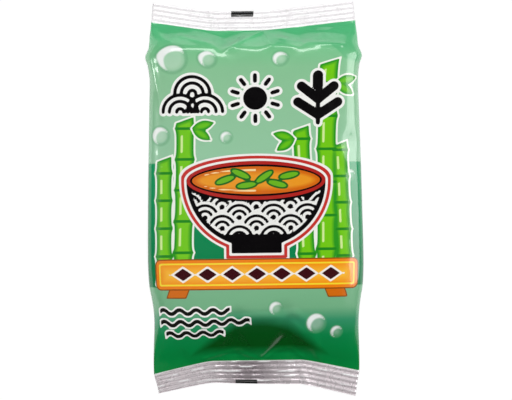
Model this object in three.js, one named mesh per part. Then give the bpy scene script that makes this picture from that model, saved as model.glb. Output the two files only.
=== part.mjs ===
// A sealed pillow packet of dried cut wakame, lying on its back with its printed front up.
// Units are millimetres: X across the packet, Y along it towards its top edge, Z up.
// The origin is on the resting plane, under the middle of the packet's box.
//
// One web of film is folded into a tube. Its two long edges meet in a fin at the back, and both
// ends of the tube are pressed flat into ribbed seals. The flakes lie loose inside.
// Points on the web are named by t, the distance along the packet on the flat film, and x, the
// place across it. t is 0 at mid length and grows towards the top edge.

import * as THREE from "three";

// Driving dimensions of the film, laid flat
const BODY_LENGTH = 156; // between the two end seals
const TOP_SEAL = 9.5;
const BOTTOM_SEAL = 11.2;
const FILM = 0.4; // thickness as modelled; the laminate itself is about 0.06
const LAYER = 0.7; // from the middle of one film layer to the next where they are sealed
const REST = FILM / 2; // height of the lowest layer's middle over the resting plane

// Back seam
const SEAM_X = 2.9; // where the web's edges meet
const FIN_TIP_X = -10.1; // the fin is folded flat towards -X
const FIN_STEP = 2.5; // width over which the film climbs onto the fin
const FIN_LAYERS = 2; // layers of the fin that the back panel climbs over

// Seal ribs
const RIB_HEIGHT = 0.25; // each way from the middle
const TOP_RIBS = 4;
const BOTTOM_RIBS = 5;

// Shape of each end: where the seal line lies, and how it is bent
const TOP_END = {
  side: 1,
  seal: TOP_SEAL,
  ribs: TOP_RIBS,
  leftY: 76.9, // the seal line's distance from mid length at its two corners
  rightY: 76.9,
  dip: 4.4, // how far its middle is drawn in
  reach: 20, // length of body that is drawn in with it
  middleX: -7, // centre of the drawn-in stretch
  flatHalf: 9, // half of the stretch that is drawn in fully
  middleZ: 8.6,
  leftZ: 5.4,
  rightZ: 5.4,
  droop: 22, // degrees that the seal hangs below level
  droopSkew: 0, // more degrees at the left corner, and fewer at the right one
};
const BOTTOM_END = {
  side: -1,
  seal: BOTTOM_SEAL,
  ribs: BOTTOM_RIBS,
  leftY: 78.5,
  rightY: 78.1,
  dip: 5.5,
  reach: 22,
  middleX: 0,
  flatHalf: 19,
  middleZ: 7.6,
  leftZ: 7.4,
  rightZ: 4.2,
  droop: 20,
  droopSkew: 17,
};

// Values along the packet, as [t, value] stations that a smooth curve joins
const HALF_WIDTH = [
  [-89, 43.6],
  [-83, 44.4],
  [-77, 45.3],
  [-56, 45.2],
  [-49, 45.6],
  [-44, 46.3],
  [-39, 47.1],
  [-28, 47.5],
  [-6, 47.2],
  [14, 46.8],
  [40, 46.2],
  [51, 46.1],
  [58, 46.9],
  [62, 47.8],
  [66, 46.4],
  [71, 45.8],
  [78, 45],
  [87.5, 44.4],
];
const FRONT_RISE = [
  [-78, 0],
  [-73, 1.5],
  [-67, 3.9],
  [-60, 7],
  [-54, 8.7],
  [-46, 9.4],
  [-20, 9.8],
  [20, 9.8],
  [50, 9.5],
  [60, 9.1],
  [65, 8.2],
  [69, 6],
  [73.5, 2.6],
  [78, 0],
];
const BACK_DROP = [
  [-78, 0],
  [-68, 4],
  [-52, 9],
  [0, 10.5],
  [56, 9.5],
  [70, 5],
  [78, 0],
];
const SIDE_Z = 8; // height of the side edges over the middle of the packet
const SIDE_LEVEL = 46; // |t| where the side edges start to bend towards the seals
const CROWN = 2.5; // power of the cross-section's curve: 2 is an ellipse, more is flatter
const SEAL_EASE = 0.15; // how gently the drawn-in stretch of a seal line ends: 0 is a sharp corner

// Sunk facets beside the seals, on the front: [end, x, half width, reach, share of the rise]
const FACETS = [
  [TOP_END, -14, 15, 15, 0.7],
  [TOP_END, 20, 18, 13, 0.6],
  [BOTTOM_END, 14, 15, 27, 0.6],
  [BOTTOM_END, -9, 14, 22, 0.55],
  [BOTTOM_END, -33, 9, 12, 0.4],
];

// Grid of the web
const BODY_ROWS = 30;
const ROW_CROWDING = 0.4; // how much closer the rows lie near the seals: 0 spaces them evenly
const FRONT_CELLS = 16;
const BACK_LEFT_CELLS = 6;
const BACK_RIGHT_CELLS = 7;
const CURVE_SAMPLES = 160;

// The flakes
const FLAKE = 0.8; // thickness
const FLAKE_ACROSS = 3;
const FLAKE_ALONG = 5;
const FLAKE_TIERS = 3;
const BED_HALF_WIDTH = 39;
const BED_HALF_LENGTH = 56;
const FLAKE_CLEARANCE = 0.6; // to the film and between tiers
const FLAKE_LENGTH_CELLS = 8;
const FLAKE_WIDTH_CELLS = 3;
const TIER_SHIFTS = [-0.06, 0.12, -0.06]; // of each tier against the next, in cells of the bed
const FLAKE_FILL = [0.78, 0.95]; // least and most length, as a share of its cell
const FLAKE_ASPECT = [0.4, 0.55]; // least and most width, as a share of its length
const SEED = 15;

// Least and most of what varies from flake to flake
const BEND = [-0.5, 0.5]; // sideways
const TAPER = [0.15, 0.5]; // share of the width that is lost towards the ends
const FOLD_TURNS = [0.8, 1.3]; // half turns of the lengthwise fold, across the flake
const WAVE_TURNS = [1.2, 2.2]; // half turns of the wave along the flake
const RAGGED = [[0.16, 4.5], [0.1, 9]]; // the edge's waves: [share of the width, pace]
const EDGE_SHARE = 0.42; // half of an even flake's width, as a share of the width it may take
const BEND_SHARE = 0.1; // how far a full bend moves the middle, as a share of that width
const FOLD_TWIST = [0.6, 2]; // how far the fold wanders sideways, and its pace
const FOLD_RISE = 0.42; // shares of half the height that the fold, the wave and the curl take
const WAVE_RISE = 0.38;
const CURL_RISE = 0.2;
const WAVE_MIDRIB = 0.45; // share of the wave that is left on the midrib

const clamp01 = (v) => Math.min(1, Math.max(0, v));
const mix = (a, b, share) => a + (b - a) * share;
const radians = THREE.MathUtils.degToRad;
const smoothstep = (v, low, high) => THREE.MathUtils.smoothstep(v, low, high);

/** Value at t of the smooth curve through [t, value] stations. */
function through(stations, t) {
  const last = stations.length - 1;
  if (t <= stations[0][0]) return stations[0][1];
  if (t >= stations[last][0]) return stations[last][1];
  const k = stations.findIndex(([place]) => place > t) - 1;
  const slope = (i) => {
    const before = stations[Math.max(0, i - 1)];
    const after = stations[Math.min(last, i + 1)];
    return (after[1] - before[1]) / (after[0] - before[0]);
  };
  const [t0, v0] = stations[k];
  const [t1, v1] = stations[k + 1];
  const span = t1 - t0;
  const u = (t - t0) / span;
  const u2 = u * u;
  const u3 = u2 * u;
  return (
    (2 * u3 - 3 * u2 + 1) * v0 +
    (u3 - 2 * u2 + u) * span * slope(k) +
    (3 * u2 - 2 * u3) * v1 +
    (u3 - u2) * span * slope(k + 1)
  );
}

const halfLength = BODY_LENGTH / 2;
const halfWidth = (t) => through(HALF_WIDTH, t);
const endOf = (t) => (t > 0 ? TOP_END : BOTTOM_END);
const intoSeal = (t) => Math.max(0, Math.abs(t) - halfLength);

/** 1 where the seal line is drawn in fully, and 0 at the corners. */
function drawnIn(end, x, half) {
  const room = half - end.flatHalf - Math.sign(x - end.middleX) * end.middleX;
  const past = clamp01((Math.abs(x - end.middleX) - end.flatHalf) / room);
  return 1 - (past * past * (1 + SEAL_EASE)) / (past + SEAL_EASE);
}

/** Height of the line where an end's two film layers meet. */
function sealHeight(end, x, half) {
  const corner = x < 0 ? end.leftZ : end.rightZ;
  return mix(corner, end.middleZ, drawnIn(end, x, half));
}

/** Degrees that a seal hangs below level at x. */
const droopAt = (end, x) => end.droop - (end.droopSkew * x) / halfWidth(end.side * halfLength);

/** Place along the packet of the web's point at t and x. */
function placeY(x, t) {
  const end = endOf(t);
  const drawn = clamp01((Math.abs(t) - halfLength + end.reach) / end.reach) ** 2;
  const cornerY = mix(end.leftY, end.rightY, (x / halfWidth(t) + 1) / 2);
  const corner = (Math.abs(t) - intoSeal(t)) * (cornerY / halfLength);
  const seal = intoSeal(t) * Math.cos(radians(droopAt(end, x)));
  return end.side * (corner - end.dip * drawnIn(end, x, halfWidth(t)) * drawn + seal);
}

/** Height of the plane between the front and the back film at t and x. */
function middleZ(x, t) {
  const end = endOf(t);
  const bent = smoothstep(Math.abs(t), SIDE_LEVEL, halfLength);
  const level = mix(SIDE_Z, sealHeight(end, x, halfWidth(t)), bent);
  return level - intoSeal(t) * Math.sin(radians(droopAt(end, x)));
}

/** Up and down offset of the ribs pressed into the seals. */
function rib(t) {
  const end = endOf(t);
  const phase = (intoSeal(t) / end.seal) * end.ribs * 2 * Math.PI;
  return intoSeal(t) > 0 ? RIB_HEIGHT * Math.sin(phase) : 0;
}

/** Share of the full rise left at x, from 1 on the centre line to 0 at the side edges. */
function crown(x, t) {
  const across = clamp01(Math.abs(x) / halfWidth(t));
  return (1 - across ** CROWN) ** (1 / CROWN);
}

/** 1 less what the sunk facets beside the seals take from the front's rise. */
function facetShare(x, t) {
  const sunk = FACETS.filter(([end]) => end === endOf(t)).map(([, middle, half, reach, depth]) => {
    const inward = halfLength - Math.abs(t);
    return depth * clamp01(1 - Math.abs(x - middle) / half - inward / reach);
  });
  return 1 - Math.max(0, ...sunk);
}

/** 1 over the folded fin, and 0 away from it. */
function overFin(x) {
  const left = smoothstep(x, FIN_TIP_X - LAYER - FIN_STEP, FIN_TIP_X - LAYER);
  return left * (1 - smoothstep(x, SEAM_X, SEAM_X + FIN_STEP));
}

/** Height of the outermost back layer. */
function backZ(x, t) {
  const drop = through(BACK_DROP, t) * crown(x, t);
  return Math.max(REST, middleZ(x, t) - LAYER / 2 - drop) + rib(t);
}

/** Height of the front film, which lies on the fin's layers where the packet is flat. */
function frontZ(x, t) {
  const rise = through(FRONT_RISE, t) * crown(x, t) * facetShare(x, t);
  const free = middleZ(x, t) + LAYER / 2 + rise + rib(t);
  return Math.max(free, backZ(x, t) + (1 + FIN_LAYERS * overFin(x)) * LAYER);
}

const webPoint = (x, t, height) => new THREE.Vector3(x, placeY(x, t), height);

/** Points at equal steps of length along a curve of the web, from x = from to x = to. */
function evenPoints(from, to, t, heightAt, cells) {
  const samples = [];
  for (let i = 0; i <= CURVE_SAMPLES; i++) {
    // closer together near the side edges, where the film turns down
    const share = (1 - Math.cos((Math.PI * i) / CURVE_SAMPLES)) / 2;
    const x = mix(from, to, share);
    samples.push(webPoint(x, t, heightAt(x, t)));
  }
  const lengths = [0];
  for (let i = 1; i < samples.length; i++) {
    lengths.push(lengths[i - 1] + samples[i].distanceTo(samples[i - 1]));
  }
  const points = [];
  for (let cell = 0; cell <= cells; cell++) {
    const wanted = (lengths.at(-1) * cell) / cells;
    const after = Math.max(1, lengths.findIndex((length) => length >= wanted - 1e-9));
    const step = (wanted - lengths[after - 1]) / (lengths[after] - lengths[after - 1]);
    points.push(samples[after - 1].clone().lerp(samples[after], step));
  }
  return points;
}

/** One row of the web across the packet, from the fin's inner edge round to its outer edge. */
function webRow(t) {
  const half = halfWidth(t);
  const lift = (layers) => (x) => backZ(x, t) + layers * LAYER;
  const at = (x, layers) => webPoint(x, t, lift(layers)(x));
  const finMiddle = (FIN_TIP_X + SEAM_X) / 2;
  const turnX = SEAM_X - LAYER / 2;
  const stepTop = FIN_TIP_X - LAYER;
  const innerFin = [at(FIN_TIP_X, 1), at(finMiddle, 1), at(turnX, 1)];
  const overTheFin = [at(turnX, 2), at(finMiddle, 2), at(stepTop, 2)];
  const stepFoot = stepTop - FIN_STEP;
  const backLeft = evenPoints(stepFoot, -half, t, (x) => backZ(x, t), BACK_LEFT_CELLS);
  const front = evenPoints(-half, half, t, frontZ, FRONT_CELLS);
  const backRight = evenPoints(half, SEAM_X, t, (x) => backZ(x, t), BACK_RIGHT_CELLS);
  const outerFin = [at(finMiddle, 0), at(FIN_TIP_X, 0)];
  return [...innerFin, ...overTheFin, ...backLeft, ...front, ...backRight, ...outerFin];
}

/** The t of each row: one on each rib's crest, trough and flank foot, and closer near the seals. */
function rowStations() {
  const sealRows = (end) => {
    const rows = [];
    for (let i = 1; i <= end.ribs * 2; i++) {
      const share = (i - 0.5) / (end.ribs * 2);
      rows.push(end.side * (halfLength + end.seal * share));
    }
    return [...rows, end.side * (halfLength + end.seal)];
  };
  const body = [];
  for (let i = 0; i <= BODY_ROWS; i++) {
    const share = (2 * i) / BODY_ROWS - 1;
    body.push(halfLength * mix(share, Math.sin((share * Math.PI) / 2), ROW_CROWDING));
  }
  return [...sealRows(BOTTOM_END).reverse(), ...body, ...sealRows(TOP_END)];
}

/** Unit direction of a line of points at the middle one of three, turning evenly at a corner. */
function bisector(before, here, after) {
  const arriving = new THREE.Vector3().subVectors(here, before).normalize();
  const leaving = new THREE.Vector3().subVectors(after, here).normalize();
  return arriving.add(leaving).normalize();
}

/**
 * A closed sheet of the given thickness around a grid of points. rows holds lines of points, and
 * the outer face is the one that looks along (step in a row) x (step from row to row).
 */
function thickSheet(rows, thickness, offsetOf = surfaceNormal) {
  const columns = rows[0].length;
  const positions = [];
  for (const side of [1, -1]) {
    rows.forEach((row, j) =>
      row.forEach((point, i) => {
        const offset = offsetOf(rows, i, j).multiplyScalar((side * thickness) / 2);
        positions.push(...point.clone().add(offset).toArray());
      }),
    );
  }
  const outer = (i, j) => j * columns + i;
  const inner = (i, j) => rows.length * columns + outer(i, j);
  const faces = [];
  const quad = (a, b, c, d) => faces.push(a, b, c, a, c, d);
  for (let j = 0; j + 1 < rows.length; j++) {
    for (let i = 0; i + 1 < columns; i++) {
      quad(outer(i, j), outer(i + 1, j), outer(i + 1, j + 1), outer(i, j + 1));
      // the same diagonal as the outer face, seen from the other side
      const [a, b] = [inner(i, j), inner(i + 1, j)];
      const [c, d] = [inner(i + 1, j + 1), inner(i, j + 1)];
      faces.push(a, c, b, a, d, c);
    }
  }
  const rim = (a, b, atA, atB) => quad(atA(...b), atA(...a), atB(...a), atB(...b));
  const top = rows.length - 1;
  const right = columns - 1;
  for (let i = 0; i < right; i++) {
    rim([i, 0], [i + 1, 0], outer, inner);
    rim([i + 1, top], [i, top], outer, inner);
  }
  for (let j = 0; j < top; j++) {
    rim([right, j], [right, j + 1], outer, inner);
    rim([0, j + 1], [0, j], outer, inner);
  }
  const geometry = new THREE.BufferGeometry();
  geometry.setAttribute("position", new THREE.Float32BufferAttribute(positions, 3));
  geometry.setIndex(faces);
  geometry.computeVertexNormals();
  return geometry;
}

/** Unit normal of a grid of points at column i of row j. */
function surfaceNormal(rows, i, j) {
  const last = rows[j].length - 1;
  const here = rows[j][i];
  const across =
    i === 0 || i === last
      ? new THREE.Vector3().subVectors(rows[j][Math.min(last, i + 1)], rows[j][Math.max(0, i - 1)])
      : bisector(rows[j][i - 1], here, rows[j][i + 1]);
  const end = rows.length - 1;
  const along =
    j === 0 || j === end
      ? new THREE.Vector3().subVectors(rows[Math.min(end, j + 1)][i], rows[Math.max(0, j - 1)][i])
      : bisector(rows[j - 1][i], here, rows[j + 1][i]);
  return across.cross(along).normalize();
}

/** The web of film, sealed round the flakes. */
function makeFilm() {
  const material = new THREE.MeshStandardMaterial({ color: 0x7fc49a, roughness: 0.25, metalness: 0 });
  const mesh = new THREE.Mesh(thickSheet(rowStations().map(webRow), FILM), material);
  mesh.name = "film_pouch";
  return mesh;
}

/** Seeded random numbers from 0 to 1, by the mulberry32 rule. */
function makeRandom(seed) {
  let state = seed >>> 0;
  return () => {
    state = (state + 0x6d2b79f5) >>> 0;
    let t = Math.imul(state ^ (state >>> 15), 1 | state);
    t = (t + Math.imul(t ^ (t >>> 7), 61 | t)) ^ t;
    return ((t ^ (t >>> 14)) >>> 0) / 2 ** 32;
  };
}

/**
 * A dried flake: a strip of blade with uneven edges, shrunk into lengthwise folds and curled. It
 * stays within length, width and height, centred on the origin.
 */
function flakeGeometry(random, length, width, height) {
  const drawn = ([low, high]) => mix(low, high, random());
  const [bend, taper, foldTurns, waveTurns] = [BEND, TAPER, FOLD_TURNS, WAVE_TURNS].map(drawn);
  const phase = [random(), random(), random(), random()].map((v) => v * 2 * Math.PI);
  const rows = [];
  for (let j = 0; j <= FLAKE_LENGTH_CELLS; j++) {
    const v = (2 * j) / FLAKE_LENGTH_CELLS - 1;
    const waves = RAGGED.map(([share, pace], k) => share * Math.sin(pace * v + phase[k]));
    const half = EDGE_SHARE * width * (1 + waves[0] + waves[1]) * (1 - taper * v * v);
    const bow = bend * (1 - 2 * v * v);
    const row = [];
    for (let i = 0; i <= FLAKE_WIDTH_CELLS; i++) {
      const u = (2 * i) / FLAKE_WIDTH_CELLS - 1;
      const twist = FOLD_TWIST[0] * Math.sin(FOLD_TWIST[1] * v + phase[2]);
      const fold = Math.cos(foldTurns * Math.PI * u + twist);
      const wave = Math.sin(waveTurns * Math.PI * v + phase[3]) * mix(WAVE_MIDRIB, 1, Math.abs(u));
      const x = u * half + BEND_SHARE * width * bow;
      const rise = FOLD_RISE * fold + WAVE_RISE * wave + CURL_RISE * bow;
      row.push(new THREE.Vector3(x, (v * length) / 2, (rise * (height - FLAKE)) / 2));
    }
    rows.push(row);
  }
  return thickSheet(rows, FLAKE, () => new THREE.Vector3(0, 0, 1));
}

/** Free height inside the pouch over a square patch: the highest floor and the lowest roof. */
function roomOver(x, t, half) {
  const places = [-1, 0, 1].flatMap((i) => [-1, 0, 1].map((j) => [x + i * half, t + j * half]));
  const floor = Math.max(...places.map(([u, v]) => backZ(u, v) + FIN_LAYERS * LAYER * overFin(u)));
  const roof = Math.min(...places.map(([u, v]) => frontZ(u, v)));
  const margin = FILM / 2 + FLAKE_CLEARANCE;
  return [floor + margin, roof - margin];
}

/** The loose charge of cut flakes, in tiers that fill the pouch. */
function makeFlakes() {
  const random = makeRandom(SEED);
  const material = new THREE.MeshStandardMaterial({ color: 0x1f2a17, roughness: 0.7, metalness: 0 });
  const cellX = (2 * BED_HALF_WIDTH) / FLAKE_ACROSS;
  const cellT = (2 * BED_HALF_LENGTH) / FLAKE_ALONG;
  const reach = Math.min(cellX, cellT) / 2 - FLAKE_CLEARANCE / 2;
  const flakes = [];
  for (let tier = 0; tier < FLAKE_TIERS; tier++) {
    for (let row = 0; row < FLAKE_ALONG; row++) {
      for (let column = 0; column < FLAKE_ACROSS; column++) {
        const x = (column + 0.5 + TIER_SHIFTS[tier]) * cellX - BED_HALF_WIDTH;
        const t = (row + 0.5 - TIER_SHIFTS[tier]) * cellT - BED_HALF_LENGTH;
        const [floor, roof] = roomOver(x, t, reach);
        const height = (roof - floor) / FLAKE_TIERS - FLAKE_CLEARANCE;
        const length = 2 * reach * mix(...FLAKE_FILL, random());
        const width = length * mix(...FLAKE_ASPECT, random());
        const flake = new THREE.Mesh(flakeGeometry(random, length, width, height), material);
        flake.position.set(x, t, floor + ((roof - floor) * (tier + 0.5)) / FLAKE_TIERS);
        flake.rotation.z = Math.PI * random();
        flake.name = `wakame_flake_${String(flakes.length + 1).padStart(2, "0")}`;
        flakes.push(flake);
      }
    }
  }
  return flakes;
}

const packet = new THREE.Group();
packet.name = "wakame_packet";
packet.add(makeFilm(), ...makeFlakes());

// the origin goes under the middle of the packet's box
const middle = new THREE.Box3().setFromObject(packet).getCenter(new THREE.Vector3());
packet.position.set(-middle.x, -middle.y, 0);

export default packet;
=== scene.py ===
"""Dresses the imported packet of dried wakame: its printed film, the flakes inside and a plain photo set."""

import logging
import math
from collections.abc import Callable, Iterable, Sequence
from dataclasses import dataclass, field
from enum import Enum

import bmesh
import bpy
import numpy as np
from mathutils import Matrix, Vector, noise


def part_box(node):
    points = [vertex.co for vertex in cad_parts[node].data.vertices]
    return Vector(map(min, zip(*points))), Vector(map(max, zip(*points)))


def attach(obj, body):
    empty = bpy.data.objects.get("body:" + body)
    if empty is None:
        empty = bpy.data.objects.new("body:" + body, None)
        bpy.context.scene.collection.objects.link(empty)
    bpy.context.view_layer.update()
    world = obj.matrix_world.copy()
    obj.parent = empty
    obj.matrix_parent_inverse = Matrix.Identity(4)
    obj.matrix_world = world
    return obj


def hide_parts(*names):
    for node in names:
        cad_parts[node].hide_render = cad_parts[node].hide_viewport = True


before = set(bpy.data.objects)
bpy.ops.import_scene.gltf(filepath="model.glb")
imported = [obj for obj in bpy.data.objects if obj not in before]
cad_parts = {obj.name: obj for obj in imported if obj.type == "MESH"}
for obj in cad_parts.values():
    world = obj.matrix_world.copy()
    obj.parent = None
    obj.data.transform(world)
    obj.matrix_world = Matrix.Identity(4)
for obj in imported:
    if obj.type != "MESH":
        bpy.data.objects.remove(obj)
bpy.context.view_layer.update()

MM = 0.001
# The distance in millimetres that stands for a motif with no part there.
FAR = 100.0
LOG = logging.getLogger("wakame_packet")

Array = np.ndarray
Stations = Sequence[tuple[float, float]]
Height = Callable[[Array, Array], Array]


def through(stations: Stations, place: Array) -> Array:
    """Values of the smooth curve through some stations.

    Args:
        stations: (place, value) pairs in rising order of place.
        place: where the curve is wanted; past the ends it keeps its last value.

    Returns:
        The curve's values, in the shape of place.
    """
    places, values = np.array(stations, float).T
    slopes = np.empty_like(values)
    slopes[1:-1] = (values[2:] - values[:-2]) / (places[2:] - places[:-2])
    slopes[0] = (values[1] - values[0]) / (places[1] - places[0])
    slopes[-1] = (values[-1] - values[-2]) / (places[-1] - places[-2])
    inside = np.clip(place, places[0], places[-1])
    k = np.clip(np.searchsorted(places, inside, side="right") - 1, 0, len(places) - 2)
    span = places[k + 1] - places[k]
    u = (inside - places[k]) / span
    return (
        (2 * u**3 - 3 * u**2 + 1) * values[k]
        + (u**3 - 2 * u**2 + u) * span * slopes[k]
        + (3 * u**2 - 2 * u**3) * values[k + 1]
        + (u**3 - u**2) * span * slopes[k + 1]
    )


def smoothstep(value: Array, low: float, high: float) -> Array:
    """0 up to low, 1 from high on, and a smooth rise between them."""
    share = np.clip((value - low) / (high - low), 0, 1)
    return share * share * (3 - 2 * share)


def refine(values: Array, axis: int, factor: int) -> Array:
    """Puts factor - 1 smooth steps between neighbours along one axis of a grid.

    Args:
        values: a grid of numbers or vectors.
        axis: the axis that gets more steps.
        factor: how many cells each cell is split into.

    Returns:
        The finer grid, which passes through the given values.
    """
    grid = np.moveaxis(values, axis, 0)
    count = len(grid)
    index = np.arange(count - 1)
    before = grid[np.maximum(index - 1, 0)]
    here = grid[index]
    after = grid[index + 1]
    beyond = grid[np.minimum(index + 2, count - 1)]
    steps = []
    for step in range(factor):
        u = step / factor
        steps.append(
            0.5
            * (
                2 * here
                + (after - before) * u
                + (2 * before - 5 * here + 4 * after - beyond) * u**2
                + (3 * here - before - 3 * after + beyond) * u**3
            )
        )
    fine = np.stack(steps, 1).reshape(-1, *grid.shape[1:])
    return np.moveaxis(np.concatenate([fine, grid[-1:]]), 0, axis)


def to_segment(a: Array, b: Array, start: tuple[float, float], end: tuple[float, float]) -> Array:
    """Distance of points from a straight segment.

    Args:
        a: the points' first coordinates.
        b: their second coordinates.
        start: one end of the segment.
        end: its other end.

    Returns:
        The distances, in the shape of a.
    """
    run_a, run_b = end[0] - start[0], end[1] - start[1]
    share = np.clip(((a - start[0]) * run_a + (b - start[1]) * run_b) / (run_a**2 + run_b**2), 0, 1)
    return np.hypot(a - start[0] - share * run_a, b - start[1] - share * run_b)


def nearest(distances: Iterable[Array]) -> Array:
    """The least of several distances at each place."""
    return np.minimum.reduce(list(distances))


def add_attribute(mesh: bpy.types.Mesh, name: str, values: Array) -> None:
    """Stores one number for each vertex of a mesh, for its material to read."""
    attribute = mesh.attributes.new(name, "FLOAT", "POINT")
    attribute.data.foreach_set("value", np.ascontiguousarray(values, np.float32).ravel())


def grid_faces(rows: int, columns: int) -> list[tuple[int, int, int, int]]:
    """The four-sided faces between the points of a grid that is stored row by row."""
    return [
        (j * columns + i, j * columns + i + 1, (j + 1) * columns + i + 1, (j + 1) * columns + i)
        for j in range(rows - 1)
        for i in range(columns - 1)
    ]


def make_object(name: str, mesh: bpy.types.Mesh) -> bpy.types.Object:
    """A linked object that shows a mesh."""
    made = bpy.data.objects.new(name, mesh)
    bpy.context.scene.collection.objects.link(made)
    return made


@dataclass(frozen=True)
class SealedEnd:
    """One pressed end of the packet, in millimetres and degrees, as the CAD has it."""

    seal: float
    ribs: int
    left_y: float
    right_y: float
    dip: float
    reach: float
    middle_x: float
    flat_half: float
    middle_z: float
    left_z: float
    right_z: float
    droop: float
    droop_skew: float


@dataclass(frozen=True)
class Facet:
    """A sunk triangle of film with its foot on a seal line, in millimetres."""

    side: int
    middle_x: float
    half: float
    reach: float
    depth: float


@dataclass(frozen=True)
class PouchForm:
    """The filled packet's form, in millimetres, by the same rules as the CAD.

    A point of the web is named by t, the distance along the packet on the flat film, and x, the
    place across it. The film's real thickness is used here, where the CAD's is larger than life.
    """

    body_length: float = 156.0
    layer: float = 0.16
    rest: float = 0.06
    seam_x: float = 2.9
    fin_tip_x: float = -10.1
    fin_step: float = 2.5
    fin_nearness: float = 15.0
    rib_heights: tuple[float, float] = (0.3, 0.08)
    rib_unevenness: float = 0.4
    rib_uneven_turns: tuple[float, float, float, float] = (0.31, 0.9, 0.47, 0.12)
    side_z: float = 8.0
    side_level: float = 46.0
    crown_powers: Stations = ((-78, 2.5), (20, 2.5), (50, 3.3), (78, 3.3))
    seal_ease: float = 0.15
    top: SealedEnd = SealedEnd(
        seal=9.5, ribs=4, left_y=76.9, right_y=76.9, dip=4.4, reach=20, middle_x=-7,
        flat_half=9, middle_z=8.6, left_z=5.4, right_z=5.4, droop=22, droop_skew=0,
    )
    bottom: SealedEnd = SealedEnd(
        seal=11.2, ribs=5, left_y=78.5, right_y=78.1, dip=5.5, reach=22, middle_x=0,
        flat_half=19, middle_z=7.6, left_z=7.4, right_z=4.2, droop=20, droop_skew=17,
    )
    half_widths: Stations = (
        (-89, 43.6), (-83, 44.4), (-77, 45.3), (-56, 45.2), (-49, 45.6), (-44, 46.3),
        (-39, 47.1), (-28, 47.5), (-6, 47.2), (14, 46.8), (40, 46.2), (51, 46.1),
        (58, 46.9), (62, 47.8), (66, 46.4), (71, 45.8), (78, 45), (87.5, 44.4),
    )
    front_rises: Stations = (
        (-78, 0), (-73, 1.5), (-67, 3.9), (-60, 7), (-54, 8.7), (-46, 9.4), (-20, 9.8),
        (20, 9.8), (50, 9.6), (62, 9.4), (65.5, 9.15), (67, 8.3), (69, 6.7), (73.5, 2.9), (78, 0),
    )
    back_drops: Stations = (
        (-78, 0), (-68, 4), (-52, 9), (0, 10.5), (56, 9.5), (70, 5), (78, 0),
    )
    facets: tuple[Facet, ...] = (
        Facet(1, -14, 15, 15, 0.7),
        Facet(1, 20, 18, 13, 0.6),
        Facet(-1, 14, 15, 27, 0.6),
        Facet(-1, -9, 14, 22, 0.55),
        Facet(-1, -33, 9, 12, 0.4),
    )

    @property
    def half_length(self) -> float:
        """Distance on the film from mid length to a seal line."""
        return self.body_length / 2

    def of_end(self, t: Array, name: str) -> Array:
        """A size of the nearer end, for each t."""
        return np.where(t > 0, getattr(self.top, name), getattr(self.bottom, name))

    def half_width(self, t: Array) -> Array:
        """Distance from the centre line to the side edges."""
        return through(self.half_widths, t)

    def into_seal(self, t: Array) -> Array:
        """Distance past the seal line, and 0 on the body."""
        return np.maximum(0, np.abs(t) - self.half_length)

    def drawn_in(self, x: Array, t: Array) -> Array:
        """1 where the seal line is drawn in fully, and 0 at the corners."""
        middle = self.of_end(t, "middle_x")
        flat = self.of_end(t, "flat_half")
        room = self.half_width(t) - flat - np.sign(x - middle) * middle
        past = np.clip((np.abs(x - middle) - flat) / room, 0, 1)
        return 1 - past * past * (1 + self.seal_ease) / (past + self.seal_ease)

    def droop(self, x: Array, t: Array) -> Array:
        """Angle in radians that the seal hangs below level."""
        corner = self.half_width(np.sign(t) * self.half_length)
        skew = self.of_end(t, "droop_skew") * x / corner
        return np.radians(self.of_end(t, "droop") - skew)

    def place_y(self, x: Array, t: Array) -> Array:
        """Place along the packet of the web's point."""
        reach = self.of_end(t, "reach")
        drawn = np.clip((np.abs(t) - self.half_length + reach) / reach, 0, 1) ** 2
        share = (x / self.half_width(t) + 1) / 2
        corner_y = self.of_end(t, "left_y") * (1 - share) + self.of_end(t, "right_y") * share
        corner = np.minimum(np.abs(t), self.half_length) * corner_y / self.half_length
        seal = self.into_seal(t) * np.cos(self.droop(x, t))
        dip = self.of_end(t, "dip") * self.drawn_in(x, t) * drawn
        return np.where(t > 0, 1, -1) * (corner - dip + seal)

    def middle_z(self, x: Array, t: Array) -> Array:
        """Height of the plane between the front and the back film."""
        corner = np.where(x < 0, self.of_end(t, "left_z"), self.of_end(t, "right_z"))
        seal = corner + (self.of_end(t, "middle_z") - corner) * self.drawn_in(x, t)
        bent = smoothstep(np.abs(t), self.side_level, self.half_length)
        level = self.side_z + (seal - self.side_z) * bent
        return level - self.into_seal(t) * np.sin(self.droop(x, t))

    def rib_wave(self, t: Array) -> Array:
        """From -1 in the ribs' troughs to 1 on their crests, and 0 on the body."""
        turns = self.into_seal(t) / self.of_end(t, "seal") * self.of_end(t, "ribs")
        return np.sin(2 * np.pi * turns)

    def rib(self, x: Array, t: Array) -> Array:
        """Up and down offset of the ribs, which are pressed unevenly along the seals."""
        across, phase, second, along = self.rib_uneven_turns
        waves = np.sin(across * x + phase) * np.sin(second * x + along * t)
        uneven = 1 + self.rib_unevenness * waves
        low, high = self.rib_heights
        return np.where(t > 0, high, low) * uneven * self.rib_wave(t)

    def crown(self, x: Array, t: Array) -> Array:
        """Share of the full rise at x, from 1 on the centre line to 0 at the side edges."""
        across = np.clip(np.abs(x) / self.half_width(t), 0, 1)
        power = through(self.crown_powers, t)
        return (1 - across**power) ** (1 / power)

    def facet_share(self, x: Array, t: Array) -> Array:
        """1 less what the sunk facets take from the front's rise."""
        sunk = np.zeros_like(x)
        inward = self.half_length - np.abs(t)
        for facet in self.facets:
            slope = np.clip(1 - np.abs(x - facet.middle_x) / facet.half - inward / facet.reach, 0, 1)
            sunk = np.maximum(sunk, np.where(t * facet.side > 0, facet.depth * slope, 0))
        return 1 - sunk

    def left_of_seam(self, x: Array) -> Array:
        """1 over the folded fin and right of it, and 0 left of it."""
        return smoothstep(x, self.fin_tip_x - self.layer - self.fin_step, self.fin_tip_x - self.layer)

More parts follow.
